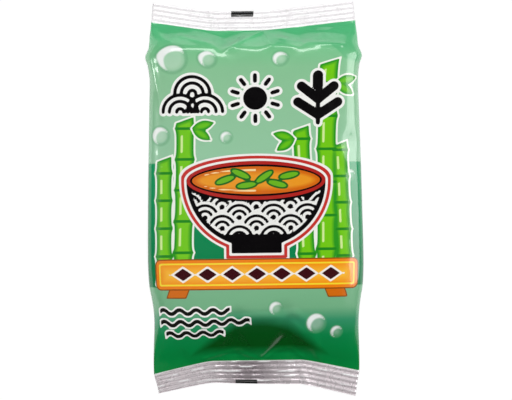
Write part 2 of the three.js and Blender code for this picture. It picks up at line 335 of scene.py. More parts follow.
    def over_fin(self, x: Array) -> Array:
        """1 over the folded fin, and 0 on both sides of it."""
        right = smoothstep(x, self.seam_x, self.seam_x + self.fin_step)
        return self.left_of_seam(x) * (1 - right)

    def near_fin(self, x: Array) -> Array:
        """1 over the middle of the folded fin, falling off to 0 on both sides."""
        middle = (self.seam_x + self.fin_tip_x) / 2
        return np.exp(-(((x - middle) / self.fin_nearness) ** 2))

    def back_z(self, x: Array, t: Array) -> Array:
        """Height of the outermost back layer."""
        drop = through(self.back_drops, t) * self.crown(x, t)
        free = self.middle_z(x, t) - self.layer / 2 - drop
        return np.maximum(self.rest, free) + self.rib(x, t)

    def front_z(self, x: Array, t: Array) -> Array:
        """Height of the front film."""
        rise = through(self.front_rises, t) * self.crown(x, t) * self.facet_share(x, t)
        free = self.middle_z(x, t) + self.layer / 2 + rise + self.rib(x, t)
        return np.maximum(free, self.back_z(x, t) + (1 + 2 * self.over_fin(x)) * self.layer)


@dataclass(frozen=True)
class Crease:
    """A sharp fold of the film along a line of (x, t) points, in millimetres."""

    line: tuple[tuple[float, float], ...]
    height: float
    half: float = 1.8

    def rise(self, x: Array, t: Array) -> Array:
        """Height that the fold adds: all of it on the line, and nothing from half on."""
        off_line = nearest(to_segment(x, t, start, end) for start, end in zip(self.line, self.line[1:]))
        return self.height * np.clip(1 - off_line / self.half, 0, 1)


@dataclass(frozen=True)
class FilmFolds:
    """The sharp folds that the sealing jaws leave, finer than the CAD's facets."""

    on_front: tuple[Crease, ...] = (
        Crease(((-44.4, 74.4), (-37.7, 69.1)), 0.45),
        Crease(((-31.7, 72.2), (-15.5, 66.9)), 0.5),
        Crease(((-9.5, 66.7), (4.1, 77.0), (7.7, 66.6)), 0.55),
        Crease(((11.8, 71.2), (22.5, 67.7), (38.3, 66.4)), 0.6),
        Crease(((24.3, 76.7), (27.6, 74.6), (44.5, 74.1)), 0.35),
        Crease(((-21.0, 76.6), (-12.5, 72.5)), -0.35),
        Crease(((-10.7, -54.7), (0.5, -53.3), (12.8, -52.3), (17.1, -51.3)), 0.55, 2.8),
        Crease(((17.1, -51.3), (22.1, -54.2), (25.7, -62.6), (27.1, -75.5)), 0.6, 2.6),
        Crease(((1.5, -77.2), (11.5, -63.6)), -0.5, 2.4),
        Crease(((-22.6, -75.3), (-14.5, -71.5), (-7.7, -70.2), (1.5, -77.2)), 0.4),
        Crease(((4.6, -75.5), (8.3, -70.5), (15.1, -69.1), (20.7, -75.7)), 0.4),
        Crease(((23.8, -70.5), (25.6, -75.8)), -0.35),
        Crease(((-45.2, 60.3), (-43.8, 52.8), (-41.4, 44.0), (-39.8, 34.5)), 0.5, 1.4),
    )
    on_seals: tuple[Crease, ...] = (
        Crease(((-25.4, -76.8), (-23.3, -90.3)), 0.5, 1.3),
        Crease(((-20.1, -77.8), (-18.4, -88.4)), -0.35, 1.5),
        Crease(((17.8, -78.9), (22.7, -89.6)), 0.5, 1.3),
        Crease(((21.9, -78.3), (24.2, -88.7)), -0.4, 1.4),
        Crease(((-17.0, 78.5), (-19.5, 87.5)), 0.4, 1.4),
        Crease(((13.0, 78.5), (16.5, 87.5)), 0.35, 1.6),
    )
    foot: float = 1.5

    def front_rise(self, x: Array, t: Array, half_length: float) -> Array:
        """Height that the body's folds add to the front film, with no sinking at the seal line."""
        total = sum(crease.rise(x, t) for crease in self.on_front)
        room = np.clip((half_length - np.abs(t)) / self.foot, 0, 1)
        return np.where(total < 0, total * room, total) * (np.abs(t) < half_length)

    def seal_rise(self, x: Array, t: Array, half_length: float) -> Array:
        """Height that the seals' folds add to every layer, growing from the seal line."""
        share = np.clip((np.abs(t) - half_length) / self.foot, 0, 1)
        return share * sum(crease.rise(x, t) for crease in self.on_seals)


@dataclass
class Strip:
    """A lengthwise strip of the web, between two lines that run along the packet.

    points is a grid of rows along the packet and columns across the strip, and x is each point's
    place across the packet before the film is bent. across is each column's place on the flat
    film, in millimetres from the front's centre line.
    """

    points: Array
    x: Array
    across: Array


@dataclass(frozen=True)
class PouchWeb:
    """Lays the web of film out on the pouch's form."""

    form: PouchForm
    flat_half_width: float = 49.0
    fin_width: float = 13.0
    samples: int = 240

    def lay(self, t: Array, start: Array, stop: Array, height: Height, cells: int) -> tuple[Array, Array]:
        """Points at even lengths across a strip, on each row.

        Args:
            t: the rows' places on the flat film.
            start: x of the strip's first line on each row.
            stop: x of its last line.
            height: gives the strip's height at arrays of x and t.
            cells: how many cells the strip has across.

        Returns:
            The grid of points, and the x of each before the film is bent.
        """
        share = (1 - np.cos(np.linspace(0, np.pi, self.samples))) / 2
        x = start[:, None] + (stop - start)[:, None] * share
        rows = np.broadcast_to(t[:, None], x.shape)
        steps = np.hypot(np.diff(x), np.diff(height(x, rows)))
        length = np.concatenate([np.zeros((len(t), 1)), np.cumsum(steps, 1)], 1)
        even = np.stack(
            [np.interp(np.linspace(0, own[-1], cells + 1), own, line) for own, line in zip(length, x)]
        )
        rows = np.broadcast_to(t[:, None], even.shape)
        return np.stack([even, self.form.place_y(even, rows), height(even, rows)], -1), even

    def strips(self, t: Array, cells: dict[str, int]) -> dict[str, Strip]:
        """The web's strips from its inner fin edge round to its outer one.

        Args:
            t: the rows' places on the flat film.
            cells: how many cells each named strip has across.

        Returns:
            The strips by name, in order across the web.
        """
        form = self.form
        half = form.half_width(t)
        tip = np.full_like(t, form.fin_tip_x)
        turn = np.full_like(t, form.seam_x - form.layer / 2)
        edge = self.flat_half_width
        back = 2 * edge - abs(form.seam_x)
        routes = {
            "inner_fin": (
                tip,
                turn,
                lambda x, s: form.back_z(x, s) + form.layer,
                (-back - self.fin_width, -back),
            ),
            "back_left": (
                turn,
                -half,
                lambda x, s: form.back_z(x, s) + 2 * form.layer * form.left_of_seam(x),
                (-back, -edge),
            ),
            "front": (-half, half, form.front_z, (-edge, edge)),
            "back_right": (half, tip, form.back_z, (edge, back + self.fin_width)),
        }
        made = {}
        for name, (start, stop, height, flat) in routes.items():
            points, x = self.lay(t, start, stop, height, cells[name])
            made[name] = Strip(points, x, np.linspace(*flat, cells[name] + 1))
        return made


@dataclass(frozen=True)
class FilmCloth:
    """Lets the film crease as cloth does where its ends hold it.

    The simulation runs on a copy that is scale times as large as the packet.
    """

    excess: float = 0.01
    frames: int = 22
    scale: float = 10.0
    cap: float = 1.6
    tension: float = 80.0
    bending: float = 15.0
    pressure: float = 0.8
    anchor: float = 0.05
    sideways: float = 0.25
    quality: int = 6
    mass: float = 0.2
    air_damping: float = 4.0
    pin_stiffness: float = 4.0

    def settle(self, points: Array, held: Array) -> Array:
        """Runs the cloth simulation on a grid of points.

        Args:
            points: rows of points in millimetres.
            held: how firmly each point is held, from 0 to 1.

        Returns:
            How far each point moved, in millimetres, no further than cap. Only a share of its
            movement across the packet is kept, so that the sides stay where they are.
        """
        rows, columns = held.shape
        mesh = bpy.data.meshes.new("film_simulation")
        start = points.reshape(-1, 3) * MM * self.scale
        mesh.from_pydata(start.tolist(), [], grid_faces(rows, columns))
        cloth = make_object("film_simulation", mesh)
        group = cloth.vertex_groups.new(name="held")
        for index, weight in enumerate(np.maximum(held, self.anchor).ravel()):
            group.add([index], float(weight), "REPLACE")
        modifier = cloth.modifiers.new("film", "CLOTH")
        settings = modifier.settings
        settings.quality = self.quality
        settings.mass = self.mass
        settings.air_damping = self.air_damping
        settings.tension_stiffness = self.tension
        settings.compression_stiffness = self.tension
        settings.shear_stiffness = self.tension / 2
        settings.bending_stiffness = self.bending
        settings.vertex_group_mass = group.name
        settings.pin_stiffness = self.pin_stiffness
        settings.shrink_min = -self.excess
        settings.use_pressure = True
        settings.uniform_pressure_force = self.pressure
        settings.effector_weights.gravity = 0
        modifier.collision_settings.use_collision = False
        modifier.point_cache.frame_end = self.frames
        scene = bpy.context.scene
        for number in range(1, self.frames + 1):
            scene.frame_set(number)
        settled = cloth.evaluated_get(bpy.context.evaluated_depsgraph_get()).to_mesh()
        end = np.empty(len(start) * 3, np.float32)
        settled.vertices.foreach_get("co", end)
        scene.frame_set(1)
        bpy.data.objects.remove(cloth)
        bpy.data.meshes.remove(mesh)
        moved = (end.reshape(-1, 3) - start) / (MM * self.scale)
        length = np.linalg.norm(moved, axis=1, keepdims=True)
        moved *= np.minimum(1, self.cap / np.maximum(length, 1e-9))
        moved[:, 0] *= self.sideways
        return moved.reshape(rows, columns, 3)


def linear(tint: str) -> tuple[float, float, float, float]:
    """The shader's colour for a tint written as six hexadecimal digits."""
    channels = [int(tint[i : i + 2], 16) / 255 for i in (0, 2, 4)]
    return (*(c / 12.92 if c <= 0.04045 else ((c + 0.055) / 1.055) ** 2.4 for c in channels), 1.0)


def pointed(s: Array, t: Array, start: tuple[float, float], end: tuple[float, float], half: float) -> Array:
    """Distance from the edge of a leaf that is pointed at both ends.

    Args:
        s: places across.
        t: places along.
        start: the leaf's root.
        end: the leaf's tip.
        half: half its greatest width.

    Returns:
        The distance at each place, less than 0 inside the leaf.
    """
    ds, dt = end[0] - start[0], end[1] - start[1]
    length = math.hypot(ds, dt)
    along = ((s - start[0]) * ds + (t - start[1]) * dt) / length
    aside = np.abs((t - start[1]) * ds - (s - start[0]) * dt) / length
    share = np.clip(along / length, 0, 1)
    past = np.maximum(-along, along - length)
    return np.where(past > 0, np.hypot(aside, past), aside - half * 4 * share * (1 - share))


class Motif(Enum):
    """The printed shapes and two zones of painted shade, each stored as a distance in millimetres from its
    edge, less than 0 inside.
    """

    # Painted shade of the steep top slope above the shoulder's zigzag, not print.
    SLOPE_SHADE = "painted_slope_shade"
    # A dark dome on the steep middle of the bottom slope: partly darker print, partly painted shade of that
    # slope.
    DEEP_PRINT_AND_SHADE = "deep_print_and_shade"
    BUBBLES = "print_bubbles"
    BUBBLE_RIMS = "print_bubble_rims"
    GLINTS = "print_glints"
    STALKS = "print_stalks"
    JOINTS = "print_joints"
    GLEAMS = "print_gleams"
    SPRAYS = "print_sprays"
    BOWL = "print_bowl"
    LIP = "print_lip"
    BROTH = "print_broth"
    SHINE = "print_shine"
    LEAVES = "print_leaves"
    CRESTS = "print_crests"
    FEET = "print_feet"
    TABLE = "print_table"
    INLAYS = "print_inlays"
    PICTURES = "print_pictures"
    RIPPLES = "print_ripples"


@dataclass(frozen=True)
class Stalk:
    """A printed stalk of bamboo, in millimetres, with a spray of two leaves at one of its joints."""

    foot_s: float
    foot_t: float
    tip_t: float
    half: float
    lean: float
    joint_pitch: float
    spray: tuple[int, int] | None = None
    leaf_reaches: tuple[tuple[float, float], ...] = ((9.0, 2.4), (7.5, -5.0))
    leaf_half: float = 1.9
    leaf_root: float = 0.8
    waist: float = 0.88
    swell: float = 0.2
    swell_reach: float = 1.3
    cut_slope: float = 0.35
    ring_half: float = 0.6
    gleam_half: float = 0.5
    gleam_aside: float = 0.35
    gleam_gap: float = 2.8
    gleam_end: float = 3.0

    def offset(self, s: Array, t: Array) -> Array:
        """Distance sideways from the stalk's middle, to its right."""
        return s - self.foot_s - self.lean * (t - self.foot_t)

    def from_joint(self, t: Array) -> Array:
        """Distance along the stalk from the nearest joint."""
        return np.abs(np.mod(t - self.foot_t + self.joint_pitch / 2, self.joint_pitch) - self.joint_pitch / 2)

    def distance(self, s: Array, t: Array) -> Array:
        """Distance from the stalk's edge, which swells at each joint and is cut aslant at the tip."""
        aside = self.offset(s, t)
        half = self.half * (self.waist + self.swell * np.exp(-self.from_joint(t) / self.swell_reach))
        past = np.maximum(t - self.tip_t - self.cut_slope * aside, self.foot_t - t)
        return np.maximum(np.abs(aside) - half, past)

    def joints(self, s: Array, t: Array) -> Array:
        """Distance from the dark rings at the joints."""
        return np.maximum(self.from_joint(t) - self.ring_half, self.distance(s, t))

    def gleam(self, s: Array, t: Array) -> Array:
        """Distance from the light line along the left of each piece between two joints."""
        aside = np.abs(self.offset(s, t) + self.gleam_aside * self.half) - self.gleam_half
        ends = np.maximum(t - self.tip_t + self.gleam_end, self.foot_t - t)
        return np.maximum(np.maximum(aside, ends), self.gleam_gap - self.from_joint(t))

    def leaves(self, s: Array, t: Array) -> Array:
        """Distance from the edge of the two pointed leaves, and far off where there are none."""
        shape = np.full_like(s, FAR)
        if self.spray:
            joint, side = self.spray
            up = joint * self.joint_pitch
            root = (self.foot_s + self.lean * up + side * self.half * self.leaf_root, self.foot_t + up)
            for reach, rise in self.leaf_reaches:
                leaf = pointed(s, t, root, (root[0] + side * reach, root[1] + rise), self.leaf_half)
                shape = np.minimum(shape, leaf)
        return shape


@dataclass(frozen=True)
class Artwork:
    """The generic printed design, with two zones of painted shade, in millimetres on the flat film.

    s runs across the front from its centre line, and t along the packet from mid length.
    """

    # The shoulder's zigzag; the steep top slope above it gets painted shade.
    shoulder: Stations = (
        (-45, 75), (-38, 69.5), (-32, 72.5), (-15.5, 67), (-9.5, 67), (4, 77),
        (8, 67), (22.5, 68), (33, 66), (37, 60), (45, 58),
    )
    # The dark dome on the bottom slope, partly print and partly painted shade: its middle s, top t, half
    # width, and how far its edge falls at that half width.
    deep: tuple[float, float, float, float] = (1.5, -54.0, 23.0, 10.0)
    deep_foot: float = -70.0
    bowl_s: float = 0.5
    rim_t: float = 6.5
    rim: tuple[float, float] = (29.5, 8.5)
    bowl_depth: float = 29.0
    foot: tuple[float, float] = (10.5, -25.0)
    lip: float = 2.4
    leaves: tuple[tuple[float, float, float], ...] = (
        (-13.0, 6.8, 20.0), (-6.5, 9.3, -25.0), (-4.0, 4.4, 8.0),
        (3.5, 8.0, 35.0), (9.0, 4.9, -15.0), (14.0, 8.6, 12.0),
    )
    leaf: tuple[float, float] = (4.4, 1.5)
    leaf_margin: float = 0.4
    shine: tuple[float, float, float] = (1.6, 0.45, 11.0)
    crest_rows: tuple[float, ...] = (-5.0, -9.6, -14.2, -18.8)
    crest_half: float = 7.2
    crest_radii: tuple[float, ...] = (1.7, 4.1, 6.5)
    crest_line: float = 0.6
    crest_margins: tuple[float, float] = (1.8, 0.8)
    crest_foot: float = -17.0
    table_t: float = -34.0
    table_half: tuple[float, float] = (43.0, 6.2)
    table_corner: float = 2.0
    table_foot: tuple[float, float, float] = (33.0, 4.0, 3.6)
    foot_splay: float = 0.5
    foot_tuck: float = 1.0
    inlays: int = 7
    inlay_pitch: float = 10.4
    inlay: tuple[float, float] = (3.9, 2.7)
    picture_t: float = 42.5
    picture_s: tuple[float, float, float] = (-26.0, 0.5, 27.0)
    picture_scale: float = 1.15
    surf_middles: tuple[tuple[float, float], ...] = ((-4.6, -5.0), (4.6, -5.0), (0.0, 1.9))
    surf_radii: tuple[float, ...] = (1.3, 4.05, 6.45)
    surf_half: float = 0.62
    sun_radius: float = 4.4
    rays: int = 10
    ray: tuple[float, float, float] = (6.6, 8.8, 0.75)
    stem: tuple[float, float, float] = (-9.5, 6.5, 0.8)
    twigs: tuple[tuple[float, float], ...] = ((-5.0, 7.4), (1.0, 6.0))
    twig: tuple[float, float, float] = (-1.5, 3.4, 1.75)
    bud: tuple[float, float, float] = (4.5, 8.4, 1.9)
    stalks: tuple[Stalk, ...] = (
        Stalk(37.8, -38.0, 22.0, 3.3, -0.02, 11.5),
        Stalk(29.6, -38.0, 58.0, 4.2, 0.02, 14.5, (6, 1)),
        Stalk(21.8, -38.0, 29.0, 3.6, -0.03, 12.5, (5, -1)),
        Stalk(-38.8, -38.0, 16.0, 3.5, 0.0, 12.0),
        Stalk(-30.8, -38.0, 33.0, 4.0, 0.02, 13.5, (5, 1)),
    )
    bubbles: tuple[tuple[float, float, float], ...] = (
        (-34.0, 60.5, 7.0), (-19.0, 60.0, 4.2), (-40.5, 26.5, 4.4), (11.0, 60.0, 3.6), (-12.0, 25.5, 2.8),
        (26.5, -55.5, 4.8), (36.0, -59.5, 3.0), (8.5, -49.0, 3.2), (41.0, 8.5, 2.6),
    )
    ripples: tuple[tuple[float, float, float], ...] = (
        (-50.0, -43.0, -11.5), (-55.0, -43.0, -3.0), (-60.0, -41.0, -15.0),
    )
    ripple_pitch: float = 7.4
    ripple_half: float = 0.8
    ripple_rise: float = 0.12
    bubble_rim: float = 0.5
    glint: tuple[float, float, float] = (0.84, 0.3, 0.76)

    @staticmethod
    def disc(s: Array, t: Array, middle_s: float, middle_t: float, radius: float) -> Array:
        """Distance from the edge of a disc."""
        return np.hypot(s - middle_s, t - middle_t) - radius

    @staticmethod
    def oval(s: Array, t: Array, half_s: float, half_t: float) -> Array:
        """Distance from the edge of an oval about the origin, exact at the edge itself."""
        near = np.hypot(s / half_s, t / half_t)
        steep = np.maximum(np.hypot(s / half_s**2, t / half_t**2), 1e-6)
        return near * (near - 1) / steep

    @staticmethod
    def stroke(
        s: Array, t: Array, start: tuple[float, float], end: tuple[float, float], half: float
    ) -> Array:
        """Distance from the edge of a straight stroke with round ends."""
        return to_segment(s, t, start, end) - half

    @staticmethod
    def ring_arc(s: Array, t: Array, middle_s: float, middle_t: float, radius: float, half: float) -> Array:
        """Distance from the edge of the upper half of a ring with round ends."""
        ds, dt = s - middle_s, t - middle_t
        ends = np.hypot(np.abs(ds) - radius, dt)
        return np.where(dt > 0, np.abs(np.hypot(ds, dt) - radius), ends) - half

    def ripple(self, s: Array, t: Array, level: float, start: float, end: float) -> Array:
        """Distance from the edge of a level wavy line."""
        height = self.ripple_rise * self.ripple_pitch
        turn = 2 * np.pi * (s - start) / self.ripple_pitch
        slope = height * 2 * np.pi / self.ripple_pitch * np.cos(turn)
        aside = np.abs(t - level - height * np.sin(turn)) / np.sqrt(1 + slope**2)
        return np.maximum(aside - self.ripple_half, np.maximum(start - s, s - end))

    def surf(self, s: Array, t: Array) -> Array:
        """Distance from the edge of a pile of round wave crests about the origin."""
        return nearest(
            self.ring_arc(s, t, aside, up, radius, self.surf_half)
            for aside, up in self.surf_middles
            for radius in self.surf_radii
        )

    def sun(self, s: Array, t: Array) -> Array:
        """Distance from the edge of a sun with short rays about the origin."""
        shape = self.disc(s, t, 0.0, 0.0, self.sun_radius)
        near, far, half = self.ray
        for turn in np.arange(self.rays) * 2 * np.pi / self.rays:
            across, up = np.sin(turn), np.cos(turn)
            ray = self.stroke(s, t, (near * across, near * up), (far * across, far * up), half)
            shape = np.minimum(shape, ray)
        return shape

    def sprig(self, s: Array, t: Array) -> Array:
        """Distance from the edge of a sprig with five leaves about the origin."""
        low, high, half = self.stem
        shape = self.stroke(s, t, (0, low), (0, high), half)
        root, tip, half = self.twig
        for side in (-1, 1):
            for up, reach in self.twigs:
                leaf = self.stroke(s, t, (0, up + root), (side * reach, up + tip), half)
                shape = np.minimum(shape, leaf)
        low, high, half = self.bud
        return np.minimum(shape, self.stroke(s, t, (0, low), (0, high), half))

    def pictures(self, s: Array, t: Array) -> Array:
        """Distance from the edge of the row of three pictograms."""
        scale = self.picture_scale
        drawn = (
            draw((s - middle) / scale, (t - self.picture_t) / scale)
            for draw, middle in zip((self.surf, self.sun, self.sprig), self.picture_s)
        )
        return nearest(drawn) * scale

    def bowl(self, s: Array, t: Array) -> dict[Motif, Array]:
        """Distances of the soup bowl and of what is drawn on it."""
        ds, dt = s - self.bowl_s, t - self.rim_t
        rim = self.oval(ds, dt, *self.rim)
        body = np.maximum(self.oval(ds, dt, self.rim[0], self.bowl_depth), dt)
        foot_half, foot_t = self.foot
        foot = np.maximum(np.abs(ds) - foot_half, np.maximum(foot_t - t, dt))
        shape = np.minimum(np.minimum(rim, body), foot)
        crests = np.full_like(s, self.crest_half)
        for row, level in enumerate(self.crest_rows):
            shifted = ds + self.crest_half * (1 + row % 2)
            aside = np.mod(shifted, 2 * self.crest_half) - self.crest_half
            out = np.hypot(aside, t - level)
            rings = nearest(np.abs(out - radius) for radius in self.crest_radii) - self.crest_line
            crests = np.where(out < self.crest_half, rings, crests)
        leaves = []
        for aside, up, tilt in self.leaves:
            across, along = ds - aside, t - up
            turn = math.radians(tilt)
            leaves.append(self.oval(
                across * math.cos(turn) + along * math.sin(turn),
                along * math.cos(turn) - across * math.sin(turn),
                *self.leaf,
            ))
        broth = rim + self.lip
        from_rim, shine_half, shine_reach = self.shine
        from_edge, from_lip = self.crest_margins
        field_edge = np.maximum(body + from_edge, np.maximum(from_lip - rim, self.crest_foot - t))
        return {
            Motif.BOWL: shape,
            Motif.LIP: rim,
            Motif.BROTH: broth,
            Motif.SHINE: np.maximum(
                np.abs(broth + from_rim) - shine_half, np.abs(ds + shine_reach) - shine_reach
            ),
            Motif.LEAVES: np.maximum(nearest(leaves), broth + self.leaf_margin),
            Motif.CRESTS: np.maximum(crests, field_edge),
        }

    def table(self, s: Array, t: Array) -> dict[Motif, Array]:
        """Distances of the low table under the bowl: its edge, its feet and its row of inlays."""
        across, off = s - self.bowl_s, t - self.table_t
        aside, (half_s, half_t) = np.abs(across), self.table_half
        over_s = aside - half_s + self.table_corner
        over_t = np.abs(off) - half_t + self.table_corner
        rounded = np.hypot(np.maximum(over_s, 0), np.maximum(over_t, 0))
        top = rounded + np.minimum(np.maximum(over_s, over_t), 0) - self.table_corner
        foot_at, foot_half, drop = self.table_foot
        under = -off - half_t
        from_foot = np.abs(aside - foot_at - self.foot_splay * under) - foot_half
        feet = np.maximum(from_foot, np.maximum(-self.foot_tuck - under, under - drop))
        half_pitch = self.inlay_pitch / 2
        from_middle = np.abs(np.mod(across + half_pitch, self.inlay_pitch) - half_pitch)
        wide, high = self.inlay
        lozenge = (from_middle / wide + np.abs(off) / high - 1) * wide * high / math.hypot(wide, high)
        return {
            Motif.FEET: feet,
            Motif.TABLE: top,
            Motif.INLAYS: np.maximum(lozenge, aside - self.inlays * half_pitch),
        }

    def distances(self, s: Array, t: Array) -> dict[Motif, Array]:
        """Every motif's distance at points of the flat film.

        Args:
            s: places across the front, in millimetres.
            t: places along the packet, in millimetres.

        Returns:
            For each motif the distance in millimetres from its edge, less than 0 inside it.
        """
        discs = [self.disc(s, t, *bubble) for bubble in self.bubbles]
        outer, shift, inner = self.glint
        glints = [
            np.maximum(
                self.disc(s, t, a, b, outer * r),
                -self.disc(s, t, a + shift * r, b - shift * r, inner * r),
            )
            for a, b, r in self.bubbles
        ]
        middle, top, half, fall = self.deep
        dome = t - top + fall * ((s - middle) / half) ** 2
        shoulder = np.interp(s, *np.array(self.shoulder).T)
        return {
            Motif.SLOPE_SHADE: shoulder - t,
            Motif.DEEP_PRINT_AND_SHADE: np.maximum(dome, self.deep_foot - t),
            Motif.BUBBLES: nearest(discs),
            Motif.BUBBLE_RIMS: np.abs(nearest(discs) + self.bubble_rim) - self.bubble_rim,
            Motif.GLINTS: nearest(glints),
            Motif.STALKS: nearest(stalk.distance(s, t) for stalk in self.stalks),
            Motif.JOINTS: nearest(stalk.joints(s, t) for stalk in self.stalks),
            Motif.GLEAMS: nearest(stalk.gleam(s, t) for stalk in self.stalks),
            Motif.SPRAYS: nearest(stalk.leaves(s, t) for stalk in self.stalks),
            **self.bowl(s, t),
            **self.table(s, t),
            Motif.PICTURES: self.pictures(s, t),
            Motif.RIPPLES: nearest(self.ripple(s, t, *ripple) for ripple in self.ripples),
        }


@dataclass
class NodeTree:
    """Adds shader nodes to a tree and joins them."""

    tree: bpy.types.NodeTree

    def add(self, kind: str, settings: dict[str, object] | None = None, **inputs: object) -> bpy.types.Node:
        """Adds a node.

        Args:
            kind: the node's type, without its ShaderNode prefix.
            settings: values of the node's own fields.
            inputs: for each input, by its name with underscores for spaces, a value or a socket to join.

        Returns:
            The new node.
        """
        node = self.tree.nodes.new("ShaderNode" + kind)
        for name, value in (settings or {}).items():
            setattr(node, name, value)
        for name, value in inputs.items():
            self.feed(node, name.replace("_", " "), value)
        return node

    def feed(self, node: bpy.types.Node, name: str | int, value: object) -> None:
        """Joins a socket to one input of a node, or sets the input's value."""
        socket = node.inputs[name]
        if isinstance(value, bpy.types.NodeSocket):
            self.tree.links.new(value, socket)
        else:
            socket.default_value = value

    def math(self, operation: str, *values: object, clamp: bool = False) -> bpy.types.NodeSocket:
        """The result of a Math node."""
        node = self.tree.nodes.new("ShaderNodeMath")
        node.operation = operation
        node.use_clamp = clamp
        for index, value in enumerate(values):
            self.feed(node, index, value)
        return node.outputs[0]

    def mix(self, share: object, under: object, over: object) -> bpy.types.NodeSocket:
        """A colour between two others."""
        node = self.tree.nodes.new("ShaderNodeMix")
        node.data_type = "RGBA"
        # A Mix node has sockets of the same name for each kind of value; these are the colour's.
        self.feed(node, 0, share)
        self.feed(node, 6, under)
        self.feed(node, 7, over)
        return node.outputs[2]

    def attribute(self, name: str) -> bpy.types.NodeSocket:
        """The number that a mesh stores under a name."""
        return self.add("Attribute", {"attribute_name": name}).outputs["Fac"]

    def place(self, group: bpy.types.NodeTree, **inputs: object) -> bpy.types.Node:
        """Adds a group with its inputs set."""
        node = self.tree.nodes.new("ShaderNodeGroup")
        node.node_tree = group
        for name, value in inputs.items():
            self.feed(node, name.replace("_", " "), value)
        return node


@dataclass(frozen=True)
class SharedEffects:
    """Shader node groups that the materials share. Each is built once."""

    broad_detail: float = 2.0
    ridge_detail: float = 3.0
    ridge_distortion: float = 0.8
    ridge_sharpness: float = 5.0

    @staticmethod
    def group(
        name: str, inputs: dict[str, tuple[str, object]], outputs: dict[str, str]
    ) -> tuple[NodeTree, dict[str, bpy.types.NodeSocket]]:
        """Starts a group.

        Args:
            name: the group's name.
            inputs: for each input its kind, Float, Color or Vector, and its first value.
            outputs: for each output its kind.

        Returns:
            The group's tree, and its inputs' sockets by name.
        """
        tree = bpy.data.node_groups.new(name, "ShaderNodeTree")
        for label, (kind, value) in inputs.items():
            socket = tree.interface.new_socket(label, in_out="INPUT", socket_type="NodeSocket" + kind)
            if value is not None:
                socket.default_value = value
        for label, kind in outputs.items():
            tree.interface.new_socket(label, in_out="OUTPUT", socket_type="NodeSocket" + kind)
        entry = tree.nodes.new("NodeGroupInput")
        return NodeTree(tree), {label: entry.outputs[label] for label in inputs}

    @staticmethod
    def close(nodes: NodeTree, **results: bpy.types.NodeSocket) -> bpy.types.NodeTree:
        """Joins a group's results to its outputs, and returns the group."""
        end = nodes.tree.nodes.new("NodeGroupOutput")
        for name, socket in results.items():
            nodes.tree.links.new(socket, end.inputs[name])
        return nodes.tree

    @classmethod
    def ink(cls) -> bpy.types.NodeTree:
        """Lays one layer of colour over the colour under it, inside a motif's edge: printed inks, painted
        shade and the seals' tints all use it.
        """
        found = bpy.data.node_groups.get("Colour layer")
        if found:
            return found
        nodes, given = cls.group(
            "Colour layer",
            {
                "Under": ("Color", None),
                "Ink": ("Color", None),
                "Distance": ("Float", 1.0),
                "Limit": ("Float", 0.0),
                "Cover": ("Float", 1.0),
                "Softness": ("Float", 0.15),
            },
            {"Color": "Color"},
        )
        inside = nodes.math("SUBTRACT", given["Limit"], given["Distance"])
        edge = nodes.math("DIVIDE", inside, given["Softness"])
        mask = nodes.math("ADD", edge, 0.5, clamp=True)
        share = nodes.math("MULTIPLY", mask, given["Cover"])
        return cls.close(nodes, Color=nodes.mix(share, given["Under"], given["Ink"]))

    @classmethod
    def crinkle(cls) -> bpy.types.NodeTree:
        """A height that rises and falls unevenly, with fine ridges, and a mask that is 1 on the ridges."""
        found = bpy.data.node_groups.get("Crinkle")
        if found:
            return found
        nodes, given = cls.group(
            "Crinkle",
            {"Broad scale": ("Float", 120.0), "Ridge scale": ("Float", 500.0), "Ridges": ("Float", 0.3)},
            {"Height": "Float", "Ridge": "Float"},
        )
        place = nodes.add("TexCoord").outputs["Object"]
        broad = nodes.add("TexNoise", Vector=place, Scale=given["Broad scale"], Detail=cls.broad_detail)
        warped = nodes.add(
            "TexNoise",
            Vector=place,
            Scale=given["Ridge scale"],
            Detail=cls.ridge_detail,
            Distortion=cls.ridge_distortion,
        )
        centred = nodes.math("SUBTRACT", warped.outputs[0], 0.5)
        folded = nodes.math("ABSOLUTE", centred)
        off_ridge = nodes.math("MULTIPLY", folded, cls.ridge_sharpness)
        ridge = nodes.math("SUBTRACT", 1.0, off_ridge, clamp=True)
        height = nodes.math("ADD", broad.outputs[0], nodes.math("MULTIPLY", ridge, given["Ridges"]))
        return cls.close(nodes, Height=height, Ridge=ridge)


@dataclass(frozen=True)
class Ink:
    """One layer of colour, printed ink for most motifs and painted shade for the shade motifs: what it fills,
    its tint, and how far past the motif's edge it goes.
    """

    motif: Motif
    tint: str
    limit: float = 0.0
    cover: float = 1.0
    softness: float = 0.15


